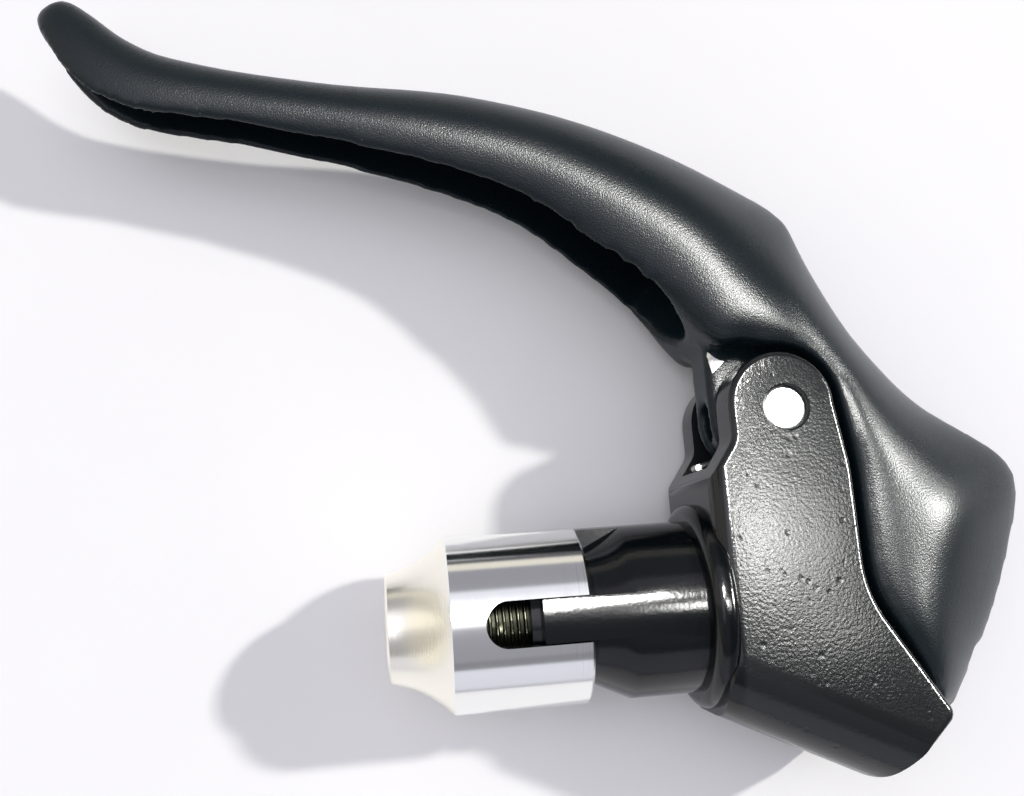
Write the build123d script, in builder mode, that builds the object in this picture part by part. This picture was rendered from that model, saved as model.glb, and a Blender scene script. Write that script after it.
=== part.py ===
"""Bar-end brake lever: a cast lever on a cast bracket that plugs into a handlebar's end.

The plug's axis is the X axis, from the expander's nose to the bracket. The origin is where that
axis meets the face of the collar that the bar's end stops against. The lever lies in the XY plane,
its blade towards +Y, and its pivot is parallel to Z. The part is symmetric about the plane z = 0,
apart from the bore that the cable's end is put in through.
"""
import math
import os

from build123d import *

os.makedirs("parts", exist_ok=True)

# Plug that goes into the handlebar
collar_d = 22.2
collar_w = 2.8
collar_round = 1.2
collar_step = 1.8
register_len = 7.3
cone_mouth_d = 15.0
cone_mouth_len = 3.9
wedge_len = 6.8
wedge_angle = 12.0
rib_w = 4.4
rib_len = 9.8

# Expander sleeve, bolt and washer
sleeve_d = 19.0
sleeve_skirt_len = 14.3
sleeve_nose_len = 6.6
sleeve_nose_d = 11.6
sleeve_nose_pinch = 0.75
sleeve_gap = 4.8
sleeve_floor = 2.2
sleeve_edge = 0.25
sleeve_run_out = 0.5
slot_count = 4
slot_len = 10.9
rib_clear = 0.15
wedge_clear = 0.35
bolt_d = 9.0
bolt_end_inset = 0.5
bolt_head_d = 12.6
bolt_head_len = 6.6
bolt_head_round = 0.5
bolt_clear = 0.25
thread_clear = 0.05
hex_af = 6.0
hex_depth = 4.6
housing_d = 5.2
housing_depth = 34.0
wire_d = 2.6
washer_t = 0.8
washer_d = 13.0

# Bracket
body_w = 19.0
body_back_x = 1.5
seat_x = 6.0
head_room = 0.4
bridge_top_y = 14.7
back_bend_y = 13.2
ear_foot_y = 17.2
front_x = 17.0
front_neck_y = 13.5
front_bend_y = 0.3
toe_x = 24.9
toe_y = -12.6
heel_x = 17.6
heel_y = -19.4
sole_back_y = -11.6
body_wall = 3.0
belly_round = 7.0
back_round = 1.8
body_edge = 0.7
back_bend_r = 2.5
front_bend_r = 12.0
toe_r = 1.3
heel_r = 2.0

# Pivot
pivot_x = 10.6
pivot_y = 20.3
ear_x = 10.2
ear_y = 20.6
ear_r = 5.85
ear_gap = 9.8
pin_d = 4.8
pin_inset = 0.7
pin_chamfer = 0.25
pin_mouth = 0.2
bush_wall = 0.75
bush_flange_d = 8.6
bush_clear = 0.03
bush_side_clear = 0.15

# Return spring
spring_wire_d = 0.8
spring_pitch = 0.86
spring_turns = 2.5
spring_pin_clear = 0.35
spring_foot_x = 3.0
spring_hook = 1.7
spring_lever_leg = 2.9
spring_rest_clear = 0.05

# Lever
lever_gap = 1.1
blade_wall = 1.5
blade_rim = 1.0
blade_roof = 2.4
channel_run_on = 0.9
channel_end_depth = 7.0
web_w = 6.4
web_top_y = 31.0
web_front_x = 19.5
spring_cavity_w = 3.1
spring_cavity_clear = 1.15
spring_window_h = 4.3
leg_clear = 0.25
squeeze_angle = 35.0
pocket_w = 10.8
pocket_x = 27.5
pocket_y = 8.5
pocket_low_x = 24.5
pocket_low_y = 3.5
pocket_top_y = 13.5
cable_end_d = 6.8
cable_end_x = 26.2
cable_end_y = -3.4
cable_end_depth = 3.6
wire_slot_w = 2.4
notch_x = 32.8
notch_y = -8.1

# Places that several pieces share
body_half = body_w / 2
register_d = collar_d - 2 * collar_step
rib_r = register_d / 2
pin_r = pin_d / 2
wedge_slope = math.tan(math.radians(wedge_angle))
cone_x = -register_len
wedge_x = cone_x - cone_mouth_len
stub_end_x = wedge_x - wedge_len
wedge_end_r = cone_mouth_d / 2 - wedge_len * wedge_slope
rim_x = cone_x - sleeve_gap
shoulder_x = rim_x - sleeve_skirt_len
nose_x = shoulder_x - sleeve_nose_len
slot_w = rib_w + 2 * rib_clear
slot_end_x = rim_x - slot_len
head_x = seat_x + washer_t
coil_r = pin_r + spring_pin_clear + spring_wire_d / 2
spring_cavity_r = coil_r + spring_wire_d / 2 + spring_cavity_clear

# The bracket's side outline, from the collar's foot round to the heel
ear_left_x = ear_x - ear_r
ear_right_x = ear_x + ear_r
web_r = pivot_x - ear_left_x
back_foot = (body_back_x, sole_back_y)
back_bend = (body_back_x, back_bend_y)
ear_foot = (ear_left_x, ear_foot_y)
front_neck = (front_x, front_neck_y)
front_bend = (front_x, front_bend_y)
toe = (toe_x, toe_y)
heel = (heel_x, heel_y)

# Lever stations from the tip round to the hood's end, each a cross-section that stands on the line
# from an inner point to an outer ridge point: the two points, the half-width at the inner edge, the
# half-width at the crease, the crease's share of the depth, and how round the roof is (1 round, 0 flat).
blade_stations = [
    ((-69.5, 72.0), (-68.5, 73.2), 0.7, 0.9, 0.50, 0.95),
    ((-69.1, 70.4), (-66.2, 74.0), 1.7, 2.2, 0.50, 0.95),
    ((-67.9, 68.0), (-63.4, 72.2), 2.4, 3.0, 0.50, 0.95),
    ((-65.9, 64.7), (-60.4, 69.6), 2.9, 3.5, 0.50, 0.95),
    ((-62.4, 61.3), (-57.0, 67.5), 3.3, 3.8, 0.50, 0.95),
    ((-56.6, 58.7), (-53.4, 66.2), 3.5, 4.1, 0.48, 0.95),
    ((-47.5, 57.0), (-45.6, 64.3), 3.7, 4.5, 0.48, 0.95),
    ((-36.5, 54.3), (-34.6, 62.5), 4.0, 5.1, 0.47, 0.95),
    ((-25.5, 51.0), (-22.5, 61.2), 4.7, 5.9, 0.46, 0.9),
    ((-15.5, 46.7), (-10.0, 58.2), 5.2, 6.8, 0.45, 0.8),
    ((-7.5, 40.5), (0.9, 54.0), 5.9, 7.8, 0.44, 0.65),
    ((-1.7, 35.3), (9.6, 49.4), 6.7, 8.7, 0.43, 0.45),
]
hood_stations = [
    ((4.0, 28.8), (16.4, 44.7), 8.2, 9.3, 0.38, 0.30),
    ((9.0, 27.6), (19.0, 38.6), 9.2, 9.6, 0.36, 0.35),
    ((10.6, 20.3), (23.2, 29.9), 9.5, 9.5, 0.48, 0.40),
    ((13.0, 15.0), (30.4, 21.2), 9.5, 9.2, 0.45, 0.30),
    ((14.0, 10.0), (38.4, 15.8), 9.5, 8.6, 0.44, 0.15),
    ((14.5, 6.0), (41.4, 11.3), 9.5, 8.5, 0.52, 0.15),
    ((15.2, 1.5), (38.9, 2.8), 9.5, 8.5, 0.44, 0.15),
    ((18.0, -6.0), (34.8, -5.5), 9.4, 8.6, 0.32, 0.20),
    ((22.5, -13.0), (29.5, -13.0), 7.6, 6.6, 0.36, 0.30),
]
channel_skip_count = 2
wall_handle = 0.6
roof_handle = 0.55
ridge_softness = 0.25


def station_plane(inner, outer):
    """The plane of a lever station: its x runs from the inner point to the ridge, its y along Z."""
    along = (outer[0] - inner[0], outer[1] - inner[1], 0)
    return Plane(origin=(inner[0], inner[1], 0), x_dir=along, z_dir=(along[1], -along[0], 0))


def blend(flat, rounded, share):
    """The point that lies at the given share of the way from flat to rounded."""
    return tuple(a + (b - a) * share for a, b in zip(flat, rounded))


def station_section(inner, outer, depth, foot, crease, roundness):
    """A station's closed outline: a flat inner edge, two side walls and a roof that meets in a ridge."""
    ridge = (depth, 0)
    wall_round = (foot[0] + (crease[0] - foot[0]) * wall_handle, crease[1])
    near_round = (crease[0] + (depth - crease[0]) * roof_handle, crease[1])
    far_round = (depth, crease[1] * roof_handle)
    wall = [
        foot,
        blend(foot, crease, 1 / 3),
        blend(blend(foot, crease, 2 / 3), wall_round, roundness),
        crease,
    ]
    roof = [
        crease,
        blend(blend(crease, ridge, 1 / 3), near_round, roundness),
        blend(blend(crease, ridge, 2 / 3), far_round, max(roundness, ridge_softness)),
        ridge,
    ]
    with BuildSketch(station_plane(inner, outer)) as section:
        with BuildLine():
            Line((foot[0], -foot[1]), foot)
            Bezier(*wall)
            Bezier(*roof)
            Bezier(*[(u, -v) for u, v in reversed(roof)])
            Bezier(*[(u, -v) for u, v in reversed(wall)])
        make_face()
    return section.sketch


def lever_section(inner, outer, rim, crease_half, crease_share, roundness):
    """The outside of the lever at a station."""
    depth = math.dist(inner, outer)
    return station_section(inner, outer, depth, (0, rim), (depth * crease_share, crease_half), roundness)


def channel_section(inner, outer, rim, crease_half, crease_share, roundness):
    """The channel in the blade at a station: open past the inner edge, a wall smaller than the outside."""
    depth = math.dist(inner, outer)
    foot = (-blade_rim, rim - blade_rim)
    crease = (depth * crease_share, crease_half - blade_wall)
    return station_section(inner, outer, depth - blade_roof, foot, crease, roundness)


def midway(before, start, end, after):
    """The station halfway from start to end on the smooth run through all four."""
    rows = [(*inner, *outer, *rest) for inner, outer, *rest in (before, start, end, after)]
    mixed = [(9 * (b + c) - a - d) / 16 for a, b, c, d in zip(*rows)]
    return (tuple(mixed[:2]), tuple(mixed[2:4]), *mixed[4:])


def with_midways(stations):
    """The stations with one more halfway along each step, which keeps the loft from swinging out."""
    padded = [stations[0], *stations, stations[-1]]
    finer = [stations[0]]
    for quad in zip(padded, padded[1:], padded[2:], padded[3:]):
        finer += [midway(*quad), quad[2]]
    return finer


def bracket_outline():
    """The bracket's side outline as a face in the XY plane."""
    with BuildSketch() as outline:
        with BuildLine():
            Polyline((ear_right_x, ear_y), front_neck, front_bend, toe, heel,
                     back_foot, back_bend, ear_foot, (ear_left_x, ear_y))
            CenterArc((ear_x, ear_y), ear_r, 0, 180)
        make_face()
        fillet(vertices().sort_by_distance(back_bend)[0], back_bend_r)
        fillet(vertices().sort_by_distance(ear_foot)[0], back_bend_r)
        fillet(vertices().sort_by_distance(front_neck)[0], front_bend_r)
        fillet(vertices().sort_by_distance(front_bend)[0], front_bend_r)
        fillet(vertices().sort_by_distance(toe)[0], toe_r)
        fillet(vertices().sort_by_distance(heel)[0], heel_r)
    return outline.sketch


def inset_corner(before, corner, after, inset):
    """The corner moved inwards so that both of its edges, run clockwise, move in by the inset."""
    first = (Vector(*corner) - Vector(*before)).normalized()
    second = (Vector(*after) - Vector(*corner)).normalized()
    first_in = Vector(first.Y, -first.X)
    second_in = Vector(second.Y, -second.X)
    reach = inset / (1 + first_in.dot(second_in))
    moved = Vector(*corner) + (first_in + second_in) * reach
    return (moved.X, moved.Y)


def long_edge_cut(radius):
    """The corners to cut from a body_w wide block whose end is at u = 0, to round that end's two sides."""
    with BuildSketch() as corners:
        with BuildLine():
            side_line = Line((radius, body_half), (radius, body_w))
            Polyline(side_line @ 1, (-radius, body_w), (-radius, body_half - radius),
                     (0, body_half - radius))
            RadiusArc((0, body_half - radius), side_line @ 0, radius)
        make_face()
        mirror(about=Plane.XZ)
    return corners.sketch


# Bracket: one casting with two ears, a hollow boot-shaped body, a collar and a ribbed plug
sole = Vector(heel_x - body_back_x, heel_y - sole_back_y, 0).normalized()
sole_in = Vector(-sole.Y, sole.X, 0)
inner_heel = inset_corner(toe, heel, back_foot, body_wall)
inner_toe = inset_corner(front_bend, toe, heel, body_wall)
toe_run = (Vector(*inner_toe) - Vector(*inner_heel)).normalized()
beyond_toe = Vector(*inner_toe) + toe_run * body_w
seat_floor_y = inner_heel[1] + (inner_heel[0] - seat_x) * -sole.Y / sole.X
above_ears = ear_y + 2 * ear_r
cut_reach = 4 * body_w
sole_cut = Plane(origin=Vector(heel_x, heel_y, 0) - sole * cut_reach, x_dir=sole_in, z_dir=sole)
back_cut = Plane(origin=(body_back_x, -cut_reach, 0), x_dir=(1, 0, 0), z_dir=(0, 1, 0))

bracket_side = bracket_outline()

with BuildPart() as bracket_body:
    with BuildSketch(Plane.XY.offset(-body_half)):
        add(bracket_side)
    extrude(amount=body_w)
    near_face = bracket_body.faces().sort_by(Axis.Z)[-1]
    far_face = bracket_body.faces().sort_by(Axis.Z)[0]
    fillet(near_face.edges() + far_face.edges(), body_edge)
    for cut_plane, radius in [(sole_cut, belly_round), (back_cut, back_round)]:
        with BuildSketch(cut_plane):
            add(long_edge_cut(radius))
        extrude(amount=2 * cut_reach, mode=Mode.SUBTRACT)
    with BuildSketch():
        with BuildLine():
            Polyline((0, rib_r), (0, collar_d / 2), (collar_w, collar_d / 2), (collar_w, 0),
                     (stub_end_x, 0), (stub_end_x, wedge_end_r), (wedge_x, cone_mouth_d / 2),
                     (cone_x, rib_r), (0, rib_r))
        make_face()
        fillet(vertices().sort_by_distance((0, collar_d / 2))[0], collar_round)
        fillet(vertices().sort_by_distance((collar_w, collar_d / 2))[0], collar_round)
    revolve(axis=Axis.X)
    with BuildSketch(Plane.YZ.offset(cone_x - rib_len)):
        Rectangle(register_d, rib_w, align=(Align.MIN, Align.CENTER))
        Rectangle(rib_w, 2 * register_d)
        Circle(rib_r, mode=Mode.INTERSECT)
    extrude(amount=rib_len + register_len / 2)
    with BuildSketch():
        Polygon((-collar_d, above_ears), (-collar_d, bridge_top_y), (seat_x, bridge_top_y),
                (seat_x, seat_floor_y), inner_heel, (beyond_toe.X, beyond_toe.Y),
                (beyond_toe.X, above_ears), align=None)
    extrude(amount=ear_gap / 2, both=True, mode=Mode.SUBTRACT)
    with BuildSketch(Plane.YZ.offset(seat_x)):
        Circle(washer_d / 2 + head_room)
    extrude(amount=2 * body_w, mode=Mode.SUBTRACT)
    with BuildSketch(Plane.YZ.offset(stub_end_x)):
        Circle(bolt_d / 2 + bolt_clear)
    extrude(amount=seat_x - stub_end_x, mode=Mode.SUBTRACT)
    with Locations((pivot_x, pivot_y, 0)):
        Hole(pin_r)
    circles = bracket_body.edges().filter_by(GeomType.CIRCLE)
    mouths = circles.filter_by(lambda circle: math.isclose(circle.radius, pin_r))
    chamfer(mouths.group_by(Axis.Z)[-1] + mouths.group_by(Axis.Z)[0], pin_mouth)
bracket_body.part.label = "bracket_body"
export_step(bracket_body.part, "parts/bracket_body.step")

# Expander sleeve: turned, slotted from its rim, with a waisted nose that the bolt screws into
sleeve_r = sleeve_d / 2
taper_end_x = stub_end_x - sleeve_run_out
taper_rim_r = cone_mouth_d / 2 + (rim_x - wedge_x) * wedge_slope + wedge_clear
taper_end_r = cone_mouth_d / 2 + (taper_end_x - wedge_x) * wedge_slope + wedge_clear
floor_x = shoulder_x + sleeve_floor
nose_r = sleeve_nose_d / 2
nut_r = bolt_d / 2 + thread_clear
waist = ((shoulder_x + nose_x) / 2, (sleeve_r + nose_r) / 2 - sleeve_nose_pinch)

with BuildPart() as expander_sleeve:
    with BuildSketch():
        with BuildLine():
            Polyline((nose_x, nose_r), (nose_x, nut_r), (floor_x, nut_r), (floor_x, taper_end_r),
                     (taper_end_x, taper_end_r), (rim_x, taper_rim_r), (rim_x, sleeve_r),
                     (shoulder_x, sleeve_r))
            ThreePointArc((shoulder_x, sleeve_r), waist, (nose_x, nose_r))
        make_face()
        for corner in [(rim_x, sleeve_r), (nose_x, nose_r)]:
            chamfer(vertices().sort_by_distance(corner)[0], sleeve_edge)
    revolve(axis=Axis.X)
    for turn in range(slot_count):
        with BuildSketch(Plane.XY.rotated((turn * 360 / slot_count, 0, 0))):
            with Locations((slot_end_x + slot_w / 2, 0)):
                Circle(slot_w / 2)
                Rectangle(slot_len, slot_w, align=(Align.MIN, Align.CENTER))
        extrude(amount=sleeve_d, mode=Mode.SUBTRACT)
expander_sleeve.part.label = "expander_sleeve"
export_step(expander_sleeve.part, "parts/expander_sleeve.step")

# Expander bolt: hollow for the cable housing, with a step that the housing stops on
bolt_r = bolt_d / 2
bolt_end_x = nose_x + bolt_end_inset
bolt_top_x = head_x + bolt_head_len
stop_x = bolt_end_x + housing_depth

with BuildPart() as expander_bolt:
    with BuildSketch():
        with BuildLine():
            Polyline((bolt_end_x, housing_d / 2), (bolt_end_x, bolt_r), (head_x, bolt_r),
                     (head_x, bolt_head_d / 2), (bolt_top_x, bolt_head_d / 2), (bolt_top_x, wire_d / 2),
                     (stop_x, wire_d / 2), (stop_x, housing_d / 2), (bolt_end_x, housing_d / 2))
        make_face()
        fillet(vertices().sort_by_distance((bolt_top_x, bolt_head_d / 2))[0], bolt_head_round)
        chamfer(vertices().sort_by_distance((bolt_end_x, bolt_r))[0], bolt_head_round)
    revolve(axis=Axis.X)
    with BuildSketch(Plane.YZ.offset(bolt_top_x)):
        RegularPolygon(hex_af / 2, 6, major_radius=False)
    extrude(amount=-hex_depth, mode=Mode.SUBTRACT)
expander_bolt.part.label = "expander_bolt"
export_step(expander_bolt.part, "parts/expander_bolt.step")

# Washer under the bolt's head
with BuildPart() as bolt_washer:
    with BuildSketch(Plane.YZ.offset(seat_x)):
        Circle(washer_d / 2)
        Circle(bolt_r + bolt_clear, mode=Mode.SUBTRACT)
    extrude(amount=washer_t)
bolt_washer.part.label = "bolt_washer"
export_step(bolt_washer.part, "parts/bolt_washer.step")

# Pivot pin: pressed through both ears, its ends a little below their faces
pin_half = body_half - pin_inset

with BuildPart() as pivot_pin:
    with BuildSketch(Plane.XY.offset(-pin_half)):
        with Locations((pivot_x, pivot_y)):
            Circle(pin_r)
    extrude(amount=2 * pin_half)
    chamfer(pivot_pin.edges().filter_by(GeomType.CIRCLE), pin_chamfer)
pivot_pin.part.label = "pivot_pin"
export_step(pivot_pin.part, "parts/pivot_pin.step")

# Pivot bushes: one flanged bush in each cheek of the lever's web
bush_bore_r = pin_r + bush_clear
bush_r = bush_bore_r + bush_wall
cheek_z = spring_cavity_w / 2
web_half = web_w / 2
flange_z = ear_gap / 2 - bush_side_clear

for bush_name, side in [("pivot_bush_upper", 1), ("pivot_bush_lower", -1)]:
    with BuildPart() as pivot_bush:
        with BuildSketch(Plane.XY.offset(side * cheek_z)):
            with Locations((pivot_x, pivot_y)):
                Circle(bush_r)
        extrude(amount=side * (flange_z - cheek_z))
        with BuildSketch(Plane.XY.offset(side * web_half)):
            with Locations((pivot_x, pivot_y)):
                Circle(bush_flange_d / 2)
        extrude(amount=side * (flange_z - web_half))
        with Locations((pivot_x, pivot_y, 0)):
            Hole(bush_bore_r)
    pivot_bush.part.label = bush_name
    export_step(pivot_bush.part, f"parts/{bush_name}.step")

# Return spring: a torsion coil round the pin, one leg on the bracket's bridge and one in the lever
coil_h = spring_turns * spring_pitch
wire_r = spring_wire_d / 2
leg_foot = Vector(spring_foot_x, bridge_top_y + wire_r + spring_rest_clear, -coil_h / 2)
pivot = Vector(pivot_x, pivot_y, -coil_h / 2)
leg_hook = leg_foot + Vector(0, 0, spring_hook)
leg_reach = leg_foot - pivot
leg_angle = math.degrees(math.atan2(leg_reach.Y, leg_reach.X))
leg_lead = math.acos(coil_r / leg_reach.length)
leg_turn = leg_angle + math.degrees(leg_lead)

with BuildLine() as coil:
    Helix(spring_pitch, coil_h, coil_r, center=pivot)
coil_path = coil.line.rotate(Axis(pivot, (0, 0, 1)), leg_turn)
coil_start = coil_path @ 0
coil_end = coil_path @ 1
lever_leg = coil_end + Vector((coil_path % 1).X, (coil_path % 1).Y, 0) * spring_lever_leg

with BuildPart() as return_spring:
    with BuildSketch(Plane(origin=coil_start, z_dir=coil_path % 0)):
        Circle(wire_r)
    sweep(path=coil_path)
    for start, end in [(coil_start, leg_foot), (leg_foot, leg_hook), (coil_end, lever_leg)]:
        with BuildSketch(Plane(origin=start, z_dir=end - start)):
            Circle(wire_r)
        extrude(amount=(end - start).length)
    with Locations(leg_foot):
        Sphere(wire_r)
return_spring.part.label = "return_spring"
export_step(return_spring.part, "parts/return_spring.step")

# Lever: one casting with a channelled blade, a faceted hood and a web between the ears
lever_stations = with_midways(blade_stations + hood_stations)
joint = 2 * len(blade_stations)
channel_stop = joint - 1
last_inner, last_outer, last_rim = blade_stations[-1][:3]
channel_dir = Vector(last_outer[0] - last_inner[0], last_outer[1] - last_inner[1], 0).normalized()
channel_mouth = Vector(last_inner[0], last_inner[1], 0) - channel_dir * last_rim
channel_end = Plane(origin=channel_mouth, x_dir=(channel_dir.Y, -channel_dir.X, 0), z_dir=channel_dir)
channel_stations = lever_stations[2 * channel_skip_count:channel_stop]
leg_edge = math.acos((coil_r + wire_r + leg_clear) / spring_cavity_r)
leg_slack = math.degrees(leg_lead - leg_edge)
leg_sweep = [
    (pivot_x + 2 * web_r * math.cos(math.radians(turn)), pivot_y + 2 * web_r * math.sin(math.radians(turn)))
    for turn in (leg_angle + leg_slack, leg_angle - squeeze_angle / 2, leg_angle - squeeze_angle)
]
cable_end = Vector(cable_end_x, cable_end_y)
bolt_exit = Vector(bolt_top_x, 0)
notch = Vector(notch_x, notch_y)
notch_end = cable_end + (notch - cable_end) * 2

with BuildPart() as lever_blade:
    loft([lever_section(*station) for station in lever_stations[joint:]])
    with BuildSketch(Plane.XY.offset(-body_w)):
        add(bracket_side)
        offset(amount=lever_gap)
    extrude(amount=2 * body_w, mode=Mode.SUBTRACT)
    loft([lever_section(*station) for station in lever_stations[:joint + 1]])
    loft([channel_section(*station) for station in channel_stations], mode=Mode.SUBTRACT)
    with BuildSketch(channel_end):
        with Locations((channel_run_on, 0)):
            Circle(last_rim - blade_rim)
    extrude(amount=last_rim + channel_end_depth, mode=Mode.SUBTRACT)
    with BuildSketch():
        Polygon((pivot_x, pocket_low_y), (pocket_low_x, pocket_low_y), (pocket_x, pocket_y),
                (pocket_low_x, pocket_top_y), (pivot_x, pocket_top_y), align=None)
    extrude(amount=pocket_w / 2, both=True, mode=Mode.SUBTRACT)
    with BuildSketch():
        Polygon((ear_left_x, pivot_y), (ear_left_x, web_top_y), (pivot_x, web_top_y),
                (web_front_x, pivot_y), (pivot_x, pivot_y), align=None)
        with Locations((pivot_x, pivot_y)):
            Circle(web_r)
    extrude(amount=web_half, both=True)
    with BuildSketch():
        with Locations((pivot_x, pivot_y)):
            Circle(spring_cavity_r)
    extrude(amount=cheek_z, both=True, mode=Mode.SUBTRACT)
    with BuildSketch(Plane.YZ.offset(pivot_x)):
        with Locations((pivot_y, 0)):
            SlotOverall(spring_window_h, spring_cavity_w)
    extrude(amount=-2 * web_r, mode=Mode.SUBTRACT)
    with BuildSketch(Plane.XY.offset(-cheek_z)):
        Polygon((pivot_x, pivot_y), *leg_sweep, align=None)
    extrude(amount=cheek_z - coil_h / 2 + wire_r + leg_clear, mode=Mode.SUBTRACT)
    with BuildSketch(Plane.XY.offset(-web_w)):
        with Locations((pivot_x, pivot_y)):
            Circle(bush_r)
    extrude(amount=2 * web_w, mode=Mode.SUBTRACT)
    with BuildSketch(Plane.XY.offset(cable_end_depth)):
        with Locations(cable_end):
            Circle(cable_end_d / 2)
    extrude(amount=-body_w, mode=Mode.SUBTRACT)
    for far_end in [bolt_exit, notch_end]:
        with BuildSketch(Plane(origin=cable_end, z_dir=far_end - cable_end)):
            Rectangle(wire_slot_w, wire_slot_w)
        extrude(amount=(far_end - cable_end).length, mode=Mode.SUBTRACT)
lever_blade.part.label = "lever_blade"
export_step(lever_blade.part, "parts/lever_blade.step")
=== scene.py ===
"""Bar-end brake lever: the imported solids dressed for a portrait, in metres and in the solids' own frame."""

import math

import bmesh
import bpy
from mathutils import Matrix, Vector


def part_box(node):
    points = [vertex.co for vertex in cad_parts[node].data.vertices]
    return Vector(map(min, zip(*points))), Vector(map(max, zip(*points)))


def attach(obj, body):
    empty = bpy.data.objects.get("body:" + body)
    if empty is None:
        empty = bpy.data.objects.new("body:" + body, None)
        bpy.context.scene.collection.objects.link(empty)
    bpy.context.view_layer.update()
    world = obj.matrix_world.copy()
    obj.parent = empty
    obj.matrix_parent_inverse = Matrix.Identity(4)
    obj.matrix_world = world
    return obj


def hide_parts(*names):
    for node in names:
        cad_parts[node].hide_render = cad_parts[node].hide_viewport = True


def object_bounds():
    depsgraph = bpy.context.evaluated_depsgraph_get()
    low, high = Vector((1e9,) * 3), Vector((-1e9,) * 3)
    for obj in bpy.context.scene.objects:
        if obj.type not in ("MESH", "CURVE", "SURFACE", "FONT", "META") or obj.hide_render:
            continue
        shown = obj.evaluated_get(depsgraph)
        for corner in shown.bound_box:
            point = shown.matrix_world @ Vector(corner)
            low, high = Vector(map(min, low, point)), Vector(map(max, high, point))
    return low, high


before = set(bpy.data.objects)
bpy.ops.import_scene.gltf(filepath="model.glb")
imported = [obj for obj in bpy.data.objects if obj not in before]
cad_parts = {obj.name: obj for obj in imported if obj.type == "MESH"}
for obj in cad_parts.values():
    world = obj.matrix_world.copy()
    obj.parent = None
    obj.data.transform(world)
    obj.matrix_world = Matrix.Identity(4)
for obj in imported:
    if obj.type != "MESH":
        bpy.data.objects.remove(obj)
solid_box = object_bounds()


# The bracket is one aluminium casting, sprayed black. Its ears and boot carry a thick coat that dried
# in pebbles and dimples. The coat on the plug ahead of the collar is thinner, smoother and glossier.
mm = 0.001
weld_reach = 0.002 * mm
crease_angle = math.radians(30)
collar_back_x = 2.6 * mm
boot_x = 3.4 * mm
plug_black = (0.002, 0.003, 0.004, 1.0)
boot_black = (0.012, 0.014, 0.015, 1.0)
coat_depth = 0.024 * mm
plug_relief = 0.4
pebble_size = 0.34 * mm
grit_size = 0.16 * mm
grit_share = 0.25
ripple_size = 2.6 * mm
ripple_share = 0.25
dimple_spacing = 1.5 * mm
dimple_slope = (0.05, 0.3)
dimple_share = 0.8
dimple_patch_size = 3.0 * mm
dimple_patch_edge = (0.45, 0.62)


def as_piece(shape, name):
    """The finished bmesh as an object at the origin, without the normals that the CAD mesh carried."""
    mesh = bpy.data.meshes.new(name)
    shape.to_mesh(mesh)
    shape.free()
    if "custom_normal" in mesh.attributes:
        mesh.attributes.remove(mesh.attributes["custom_normal"])
    piece = bpy.data.objects.new(name, mesh)
    bpy.context.scene.collection.objects.link(piece)
    return piece


def joined_copy(node, name):
    """A piece made from a CAD node's triangles, joined up and shaded smooth except over its sharp edges."""
    shape = bmesh.new()
    shape.from_mesh(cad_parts[node].data)
    bmesh.ops.remove_doubles(shape, verts=shape.verts, dist=weld_reach)
    for face in shape.faces:
        face.smooth = True
    for edge in shape.edges:
        edge.smooth = edge.calc_face_angle(0.0) < crease_angle
    return as_piece(shape, name)


def dress(piece, material, body, slot, *nodes):
    """Gives the piece its one material and its body, and lets it stand for the CAD nodes named. The slot is
    not used.
    """
    piece.data.materials.clear()
    piece.data.materials.append(material)
    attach(piece, body)
    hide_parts(*nodes)


class Signal:
    """A socket in a node tree: arithmetic on it adds Math nodes, and node() adds any other."""

    def __init__(self, tree, socket=None):
        self.tree = tree
        self.socket = socket

    def node(self, kind, settings=None, inputs=None, output=0):
        made = self.tree.nodes.new(kind)
        for key, value in (settings or {}).items():
            if key == "stops":
                while len(made.color_ramp.elements) < len(value):
                    made.color_ramp.elements.new(1.0)
                for stop, (place, level) in zip(made.color_ramp.elements, value):
                    stop.position = place
                    stop.color = (level, level, level, 1.0)
            else:
                setattr(made, key, value)
        self.feed(made, inputs or {})
        return Signal(self.tree, made.outputs[output])

    def feed(self, node, inputs):
        for key, value in inputs.items():
            if isinstance(value, Signal):
                self.tree.links.new(value.socket, node.inputs[key])
            else:
                node.inputs[key].default_value = value

    def maths(self, operation, first, second=0.0):
        return self.node("ShaderNodeMath", {"operation": operation}, {0: first, 1: second})

    def __add__(self, other):
        return self.maths("ADD", self, other)

    def __sub__(self, other):
        return self.maths("SUBTRACT", self, other)

    def __rsub__(self, other):
        return self.maths("SUBTRACT", other, self)

    def __mul__(self, other):
        return self.maths("MULTIPLY", self, other)

    def __truediv__(self, other):
        return self.maths("DIVIDE", self, other)

    def __pow__(self, other):
        return self.maths("POWER", self, other)

    def __gt__(self, other):
        return self.maths("GREATER_THAN", self, other)

    def __lt__(self, other):
        return self.maths("LESS_THAN", self, other)

    def __abs__(self):
        return self.maths("ABSOLUTE", self)

    __radd__ = __add__
    __rmul__ = __mul__

    def step(self, low, high):
        """A smooth step from 0 at low to 1 at high."""
        return self.node("ShaderNodeMapRange", {"interpolation_type": "SMOOTHSTEP"},
                         {"Value": self, "From Min": low, "From Max": high})

    def mix(self, plain, marked):
        """The colour plain where this is 0 and the colour marked where it is 1."""
        return self.node("ShaderNodeMix", {"data_type": "RGBA"}, {0: self, 6: plain, 7: marked}, output=2)


def noise(place, size, detail=2.0):
    """Cloudy noise with features of about the given size."""
    return place.node("ShaderNodeTexNoise", {}, {"Vector": place, "Scale": 1.0 / size, "Detail": detail})


def scatter(place, spacing):
    """The distance to the nearest of many scattered points, as a share of their spacing."""
    return place.node("ShaderNodeTexVoronoi", {}, {"Vector": place, "Scale": 1.0 / spacing})


def bump(height, depth):
    """A Normal that follows a height from 0 to 1 standing for the given depth."""
    return height.node("ShaderNodeBump", {}, {"Strength": 1.0, "Distance": depth, "Height": height})


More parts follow.
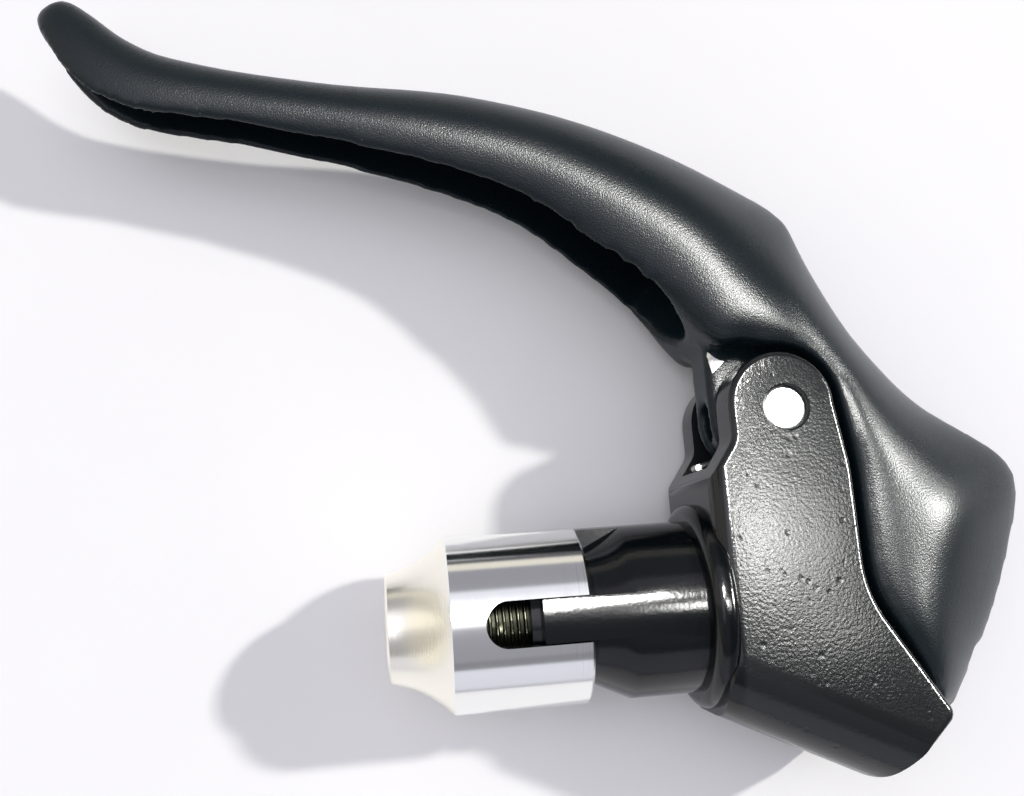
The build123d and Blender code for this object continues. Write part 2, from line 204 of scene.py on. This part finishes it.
def split(place):
    """The x, y and z of a place."""
    x = place.node("ShaderNodeSeparateXYZ", {}, {"Vector": place})
    return [Signal(place.tree, socket) for socket in x.socket.node.outputs]


def new_finish(name, **constants):
    """A material, the Object coordinates in it, and a function that feeds its shader's sockets by name."""
    material = bpy.data.materials.new(name)
    material.use_nodes = True
    start = Signal(material.node_tree)
    shader = material.node_tree.nodes["Principled BSDF"]

    def feed(**inputs):
        start.feed(shader, {key.replace("_", " ").title().replace("Ior", "IOR"): value
                            for key, value in inputs.items()})

    feed(**constants)
    return material, start.node("ShaderNodeTexCoord", output="Object"), feed


pebble_coat, place, feed = new_finish("pebble_coat", specular_ior_level=0.4)
along = split(place)[0]
boot = along.step(collar_back_x, boot_x)
pebbles = noise(place, pebble_size, 1.0)
grit = noise(place, grit_size, 1.0)
ripple = noise(place, ripple_size, 0.0)
dimpled = noise(place, dimple_patch_size, 0.0).step(*dimple_patch_edge)
dimples = (1.0 - scatter(place, dimple_spacing).step(*dimple_slope)) * dimpled
relief = boot * (1.0 - plug_relief) + plug_relief
coat = relief * (pebbles * (1.0 - grit_share) + grit * grit_share)
feed(
    base_color=boot.mix(plug_black, boot_black),
    roughness=0.11 + boot * 0.03 + pebbles * 0.05,
    normal=bump(coat - boot * dimples * dimple_share + ripple * ripple_share, coat_depth),
)
bracket = joined_copy("bracket_body", "bracket_casting")
dress(bracket, pebble_coat, "bracket", "bracket_paint", "bracket_body")


# The washer is a plain ring of zinc plated steel, stamped from sheet. It sits under the bolt's head inside
# the boot, out of sight.
plate_dull = (0.40, 0.40, 0.37, 1.0)
plate_bright = (0.62, 0.61, 0.57, 1.0)
plate_cloud_size = 1.4 * mm
plate_grain_size = 0.12 * mm
plate_grain_depth = 0.004 * mm

zinc_plate, place, feed = new_finish("zinc_plate", metallic=1.0)
clouds = noise(place, plate_cloud_size, 3.0)
feed(
    base_color=clouds.mix(plate_dull, plate_bright),
    roughness=0.28 + clouds * 0.2,
    normal=bump(noise(place, plate_grain_size), plate_grain_depth),
)
washer = joined_copy("bolt_washer", "bolt_washer_ring")
dress(washer, zinc_plate, "bracket", "bolt_steel", "bolt_washer")


# The expander bolt is a hollow steel bolt, zinc plated. Its shank is rolled with a fine thread, coloured
# near black, which shows in the sleeve's slots between the nose and the ribs of the plug.
shank_r = 4.5 * mm
thread_pitch = 0.75 * mm
thread_crest_r = shank_r - 0.02 * mm
thread_root_r = 4.08 * mm
thread_end_x = -10.0 * mm
thread_steps = 40
ridge_foot_r = thread_root_r - 0.05 * mm
ridge_rows = [(0.0, ridge_foot_r), (0.27, thread_crest_r), (0.4, thread_crest_r), (0.67, ridge_foot_r)]
ridge_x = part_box("expander_bolt")[0].x + 0.1 * mm
thread_near_black = (0.03, 0.03, 0.022, 1.0)

bolt = joined_copy("expander_bolt", "hollow_bolt")
shape = bmesh.new()
shape.from_mesh(bolt.data)
for cut_x in (thread_end_x, thread_end_x - thread_pitch):
    bmesh.ops.bisect_plane(shape, geom=shape.verts[:] + shape.edges[:] + shape.faces[:], dist=weld_reach,
                           plane_co=(cut_x, 0, 0), plane_no=(1, 0, 0))
turned_down = [v for v in shape.verts
               if v.co.x < thread_end_x - thread_pitch / 2 and math.hypot(v.co.y, v.co.z) > thread_root_r]
root_share = thread_root_r / shank_r
bmesh.ops.scale(shape, verts=turned_down, vec=(1.0, root_share, root_share))
shank_faces = set(shape.faces)
ridge = shape.faces.new([shape.verts.new((ridge_x + share * thread_pitch, radius, 0))
                         for share, radius in ridge_rows])
thread_turns = (thread_end_x - thread_pitch - ridge_x) / thread_pitch
bmesh.ops.spin(shape, geom=[ridge, *ridge.edges, *ridge.verts], cent=(0, 0, 0), axis=(1, 0, 0),
               dvec=(thread_pitch / thread_steps, 0, 0), angle=thread_turns * 2 * math.pi,
               steps=round(thread_turns * thread_steps))
bmesh.ops.recalc_face_normals(shape, faces=[face for face in shape.faces if face not in shank_faces])
shape.to_mesh(bolt.data)
shape.free()
dark_threaded_steel, place, feed = new_finish("dark_threaded_steel", metallic=1.0)
along = split(place)[0]
clouds = noise(place, plate_cloud_size, 3.0)
# The threaded part of the shank is coloured near black.
on_thread = 1.0 - along.step(thread_end_x - thread_pitch, thread_end_x + thread_pitch)
feed(
    base_color=on_thread.mix(clouds.mix(plate_dull, plate_bright), thread_near_black),
    roughness=0.24 + clouds * 0.2,
    normal=bump(noise(place, plate_grain_size), plate_grain_depth),
)
dress(bolt, dark_threaded_steel, "bolt", "bolt_steel", "expander_bolt")


# The expander sleeve is turned from aluminium bar, slotted four times from its rim, and polished on the
# lathe, so its skin keeps fine rings that run round it. The nose was left a little duller, and its colour
# is tinted warm, a painted warm reflection.
nose_length = 6.6 * mm
shoulder_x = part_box("expander_sleeve")[0].x + nose_length
nose_edge = (shoulder_x - 0.4 * mm, shoulder_x + 0.1 * mm)
polished = (0.90, 0.905, 0.89, 1.0)
nose_painted_warmth = (0.94, 0.915, 0.83, 1.0)
ring_scale = (6000.0, 120.0, 120.0)
ring_depth = 0.012 * mm
smudge_size = 5.0 * mm

turned_aluminium, place, feed = new_finish("turned_aluminium", metallic=1.0)
along = split(place)[0]
rings = place.node("ShaderNodeMapping", {}, {"Vector": place, "Scale": ring_scale})
ring_marks = noise(rings, 1.0, 3.0)
smudges = noise(place, smudge_size, 3.0)
nose = 1.0 - along.step(*nose_edge)
feed(
    # The nose's warm tint is a painted warm reflection.
    base_color=nose.mix(polished, nose_painted_warmth),
    roughness=0.07 + ring_marks * 0.05 + smudges * 0.05 + nose * 0.14,
    normal=bump(ring_marks, ring_depth),
)
sleeve = joined_copy("expander_sleeve", "slotted_sleeve")
dress(sleeve, turned_aluminium, "sleeve", "sleeve_aluminium", "expander_sleeve")


# Two flanged bushes, moulded in black plastic, line the lever's pivot hole. Each is pressed into one of
# the web's two cheeks and turns on the pin with the lever.
bush_black = (0.02, 0.02, 0.02, 1.0)
bush_grey = (0.045, 0.045, 0.045, 1.0)
bush_grain_size = 0.15 * mm
bush_grain_depth = 0.004 * mm

bush_plastic, place, feed = new_finish("bush_plastic")
grain = noise(place, bush_grain_size)
feed(
    base_color=grain.mix(bush_black, bush_grey),
    roughness=0.45 + grain * 0.15,
    normal=bump(grain, bush_grain_depth),
)
for node in ("pivot_bush_upper", "pivot_bush_lower"):
    bush = joined_copy(node, node + "_moulding")
    dress(bush, bush_plastic, "lever", "bush_plastic", node)


# The return spring is wound from drawn steel wire and sits round the pin, between the web's cheeks. One
# leg rests on the bracket's bridge and the other in the lever.
wire_dull = (0.42, 0.42, 0.41, 1.0)
wire_bright = (0.62, 0.62, 0.60, 1.0)
wire_mark_size = 0.3 * mm
wire_mark_depth = 0.004 * mm

spring_wire, place, feed = new_finish("spring_wire", metallic=1.0)
drawn = noise(place, wire_mark_size)
feed(
    base_color=drawn.mix(wire_dull, wire_bright),
    roughness=0.25 + drawn * 0.15,
    normal=bump(drawn, wire_mark_depth),
)
spring = joined_copy("return_spring", "wound_spring")
dress(spring, spring_wire, "bracket", "spring_steel", "return_spring")


# The lever is one aluminium casting in satin black. Its facets run into each other over soft edges. The
# web runs between the ears, and a small corner of each of its sides is bare metal.
web_half = 3.2 * mm
cheek_low = web_half - 0.3 * mm
cheek_high = web_half + 0.12 * mm
bare_x = 4.6 * mm
bare_slant = 0.9
bare_line = 21.0 * mm
bare_high_y = 29.5 * mm
bare_metal = (0.86, 0.86, 0.85, 1.0)
# The black is tinted faintly blue-green, a painted reflection of a blue sky.
lever_black_sky_tinted = (0.005, 0.011, 0.015, 1.0)
dust_grey = (0.12, 0.13, 0.13, 1.0)
speck_spacing = 2.4 * mm
speck_edge = (0.02, 0.05)
speck_share = 0.5
peel_size = 1.1 * mm
peel_share = 0.08
sand_size = 0.17 * mm
bloom_size = 9.0 * mm
satin_depth = 0.028 * mm
cast_grain = 0.4 * mm
lattice_slant = Vector((0, 0, 1)).rotation_difference(Vector((1, 1, 1))).to_matrix()
rub = 0.5
edge_passes = 6
roll_passes = 180
seam_passes = 16
seam_rings = 4
ridge_reach = (0.5 * mm, 6.0 * mm)
outside_lean = (0.03, 0.35)

satin_black, place, feed = new_finish("satin_black", specular_ior_level=0.28)
along, up, out = split(place)
aside = abs(out)
cheek = (aside > cheek_low) * (aside < cheek_high) * (along > bare_x)
bare = cheek * (up - along * bare_slant > bare_line) * (up < bare_high_y)
peel = noise(place, peel_size, 1.0)
sand = noise(place, sand_size, 1.0)
bloom = noise(place, bloom_size)
dust = (1.0 - scatter(place, speck_spacing).step(*speck_edge)) * speck_share
feed(
    base_color=bare.mix(dust.mix(lever_black_sky_tinted, dust_grey), bare_metal),
    roughness=0.22 + bloom * 0.06 + sand * 0.08,
    metallic=bare,
    normal=bump(peel * peel_share + sand * (1.0 - peel_share), satin_depth),
)


def soften(shape, verts, passes):
    """Rubs down the edges among the given vertices."""
    for _ in range(passes):
        bmesh.ops.smooth_vert(shape, verts=verts, factor=rub,
                              use_axis_x=True, use_axis_y=True, use_axis_z=True)


def ease(value, low, high):
    """A smooth step from 0 at low to 1 at high."""
    share = min(max((value - low) / (high - low), 0.0), 1.0)
    return share * share * (3.0 - 2.0 * share)


# The skin is rebuilt on a lattice that lies slanted to the casting, to keep long stair-steps off its rims.
lever = joined_copy("lever_blade", "lever_casting")
shape = bmesh.new()
shape.from_mesh(lever.data)
bmesh.ops.rotate(shape, verts=shape.verts, cent=(0, 0, 0), matrix=lattice_slant)
shape.to_mesh(lever.data)
shape.free()
skin = lever.modifiers.new("cast_skin", "REMESH")
skin.mode = "VOXEL"
skin.voxel_size = cast_grain
skin.use_smooth_shade = True
shape = bmesh.new()
shape.from_object(lever, bpy.context.evaluated_depsgraph_get())
lever.modifiers.clear()
bmesh.ops.rotate(shape, verts=shape.verts, cent=(0, 0, 0), matrix=lattice_slant.transposed())
soften(shape, shape.verts[:], edge_passes)

# The outer faces are softened, the more so the further they lie from the ridge. Their seam along the gap and
# the rims is then rubbed down a little, to even it out.
softness = {}
seam = set()
shape.normal_update()
for vert in shape.verts:
    lean = math.copysign(1.0, vert.co.z) * vert.normal.z
    outside = ease(lean, *outside_lean)
    share = outside * ease(abs(vert.co.z), *ridge_reach)
    if share > 0.0:
        softness[vert] = share
        if outside < 1.0 and abs(vert.co.z) > web_half:
            seam.add(vert)
as_cast = {vert: vert.co.copy() for vert in softness}
soften(shape, list(softness), roll_passes)
for vert, share in softness.items():
    vert.co = as_cast[vert].lerp(vert.co, share)
for _ in range(seam_rings):
    seam |= {edge.other_vert(vert) for vert in seam for edge in vert.link_edges}
soften(shape, [vert for vert in shape.verts if vert in seam], seam_passes)
shape.to_mesh(lever.data)
shape.free()
dress(lever, satin_black, "lever", "lever_paint", "lever_blade")


# The pivot pin is ground steel, pressed through both ears, its chamfered ends a little below their faces.
# The ends were turned, which leaves fine rings round their middle.
pivot = (10.6 * mm, 20.3 * mm, 0.0)
turning_pitch = 0.09 * mm
turning_depth = 0.002 * mm
scuff_size = 0.6 * mm
scuffed_steel = (0.86, 0.86, 0.85, 1.0)
clean_steel = (0.94, 0.94, 0.93, 1.0)

ground_steel, place, feed = new_finish("ground_steel", metallic=1.0)
centred = place.node("ShaderNodeMapping", {}, {"Vector": place, "Location": tuple(-c for c in pivot)})
across, ahead = split(centred)[:2]
phase = (across * across + ahead * ahead) ** 0.5 / turning_pitch
turning = phase.maths("SINE", phase) * 0.5 + 0.5
scuffs = noise(place, scuff_size, 3.0)
feed(
    base_color=scuffs.mix(scuffed_steel, clean_steel),
    roughness=0.36 + scuffs * 0.1,
    normal=bump(turning, turning_depth),
)
pin = joined_copy("pivot_pin", "ground_pin")
dress(pin, ground_steel, "bracket", "pin_steel", "pivot_pin")


# The lever lies on its side on a plain white table, matt and faintly clouded, which is far wider than the
# view and keeps the shadow.
table_half = 12.0
table_pale = (0.90, 0.90, 0.91, 1.0)
table_bright = (0.93, 0.93, 0.935, 1.0)
paper_size = 30.0 * mm

table_white, place, feed = new_finish("table_white", specular_ior_level=0.0)
paper = noise(place, paper_size)
feed(base_color=paper.mix(table_pale, table_bright), roughness=0.7 + paper * 0.1)
shape = bmesh.new()
bmesh.ops.create_grid(shape, x_segments=1, y_segments=1, size=table_half)
bmesh.ops.translate(shape, verts=shape.verts, vec=(0, 0, solid_box[0].z))
table = as_piece(shape, "table")
table.data.materials.append(table_white)


# A bright sky in long bands is what the polished sleeve mirrors, and five panels above and to the right are
# seen only as gloss on the black paint. A small lamp low on the right throws the shadow to the left, and a
# wide panel overhead fills it softly. Neither of those two shows in the gloss.
aim = Vector((0.0, 15.0 * mm, 0.0))
upright = (0.0, 1.0, 0.0)
panel_distance = 1.0
panel_cream = (1.0, 1.0, 0.96)
gloss_panels = [
    ("high_panel", (0.10, 0.235, 0.966), (0.12, 0.26), (0.85, 0.52, 0.0), 22.0),
    ("small_panel", (0.29, 0.025, 0.956), (0.07, 0.12), upright, 1.6),
    ("broad_panel", (0.39, -0.01, 0.92), (0.18, 0.15), upright, 1.4),
    ("side_panel", (0.79, 0.07, 0.61), (0.24, 0.18), upright, 21.0),
    ("edge_panel", (0.86, 0.30, 0.41), (0.12, 0.12), upright, 2.2),
]
low_distance = 2.5
low_size = (0.12, 0.12)
low_power = 40.0
low_warm = (1.0, 0.98, 0.91)
fill_distance = 2.0
fill_size = (2.0, 2.0)
fill_power = 7.5
fill_cool = (0.95, 0.94, 1.0)
sky_bands = [(0.0, 0.12), (0.03, 0.12), (0.04, 0.85), (0.085, 0.85), (0.10, 0.36), (0.25, 0.36),
             (0.275, 0.92), (0.50, 0.92), (0.53, 0.38), (0.75, 0.36), (0.765, 0.28), (0.81, 0.28),
             (0.825, 0.88), (0.97, 0.82), (1.0, 0.5)]
warm_start = (0.03, 0.04)
warm_end = (0.085, 0.10)
sky_cool = (0.90, 0.895, 1.0, 1.0)
sky_warm = (1.0, 0.95, 0.84, 1.0)
east_edge = (0.2, 0.36)
east_shade = 0.6
west_edge = (-0.8, -0.5)
west_glow = 0.15
patch_west = (-0.6, -0.4)
patch_east = (-0.2, -0.05)
patch_south = (-0.35, -0.15)
patch_north = (0.30, 0.42)
patch_rise = (0.3, 0.5)
patch_glow = 1.2


def lamp(name, direction, distance, size, line, power, colour, gloss_only):
    """A rectangular lamp that faces the aim from the given direction, its length along the given line."""
    light = bpy.data.lights.new(name, "AREA")
    light.shape = "RECTANGLE"
    light.size, light.size_y = size
    light.energy = power
    light.color = colour
    holder = bpy.data.objects.new(name, light)
    holder.visible_diffuse = not gloss_only
    holder.visible_glossy = gloss_only
    bpy.context.scene.collection.objects.link(holder)
    toward = Vector(direction).normalized()
    side = Vector(line).cross(toward).normalized()
    holder.location = aim + toward * distance
    holder.rotation_euler = Matrix((side, toward.cross(side), toward)).transposed().to_euler()


for name, direction, size, line, power in gloss_panels:
    lamp(name, direction, panel_distance, size, line, power, panel_cream, True)
lamp("low_lamp", (0.738, 0.277, 0.615), low_distance, low_size, upright, low_power, low_warm, False)
lamp("fill_panel", (0.0, 0.0, 1.0), fill_distance, fill_size, upright, fill_power, fill_cool, False)

world = bpy.data.worlds.new("banded_sky")
bpy.context.scene.world = world
world.use_nodes = True
sky = Signal(world.node_tree)
heading = sky.node("ShaderNodeTexCoord", output="Generated")
east, north, rise = split(heading)
turn = rise.maths("ARCTAN2", rise, north) / math.pi
level = turn.node("ShaderNodeValToRGB", {"stops": sky_bands}, {"Fac": turn})
warm = turn.step(*warm_start) * (1.0 - turn.step(*warm_end))
west = 1.0 - east.step(*west_edge)
patch = east.step(*patch_west) * (1.0 - east.step(*patch_east)) * north.step(*patch_south)
patch = patch * (1.0 - north.step(*patch_north)) * rise.step(*patch_rise)
shaded = level * (1.0 - east.step(*east_edge) * east_shade)
sky.feed(world.node_tree.nodes["Background"], {
    "Color": (warm + west).mix(sky_cool, sky_warm),
    "Strength": shaded + west * west_glow + patch * patch_glow,
})


# The camera stands where the photograph was taken, close above the lever and nearly straight down. Its
# place, its tilts and its focal length are fitted to the photograph's perspective.
photo_pixels = 1024
focal_pixels = 968
sensor_width = 36.0
eye = Vector((-29.9, 6.2, 107.8)) * mm
tilts = (10.02, -5.75, -4.23)
near_clip = 5.0 * mm
far_clip = 20.0

camera = bpy.data.objects.new("camera", bpy.data.cameras.new("camera"))
bpy.context.scene.collection.objects.link(camera)
camera.data.sensor_fit = "HORIZONTAL"
camera.data.sensor_width = sensor_width
camera.data.lens = sensor_width * focal_pixels / photo_pixels
camera.data.clip_start = near_clip
camera.data.clip_end = far_clip
camera.location = eye
camera.rotation_euler = [math.radians(tilt) for tilt in tilts]
bpy.context.scene.camera = camera
bpy.context.scene.view_settings.view_transform = "Standard"
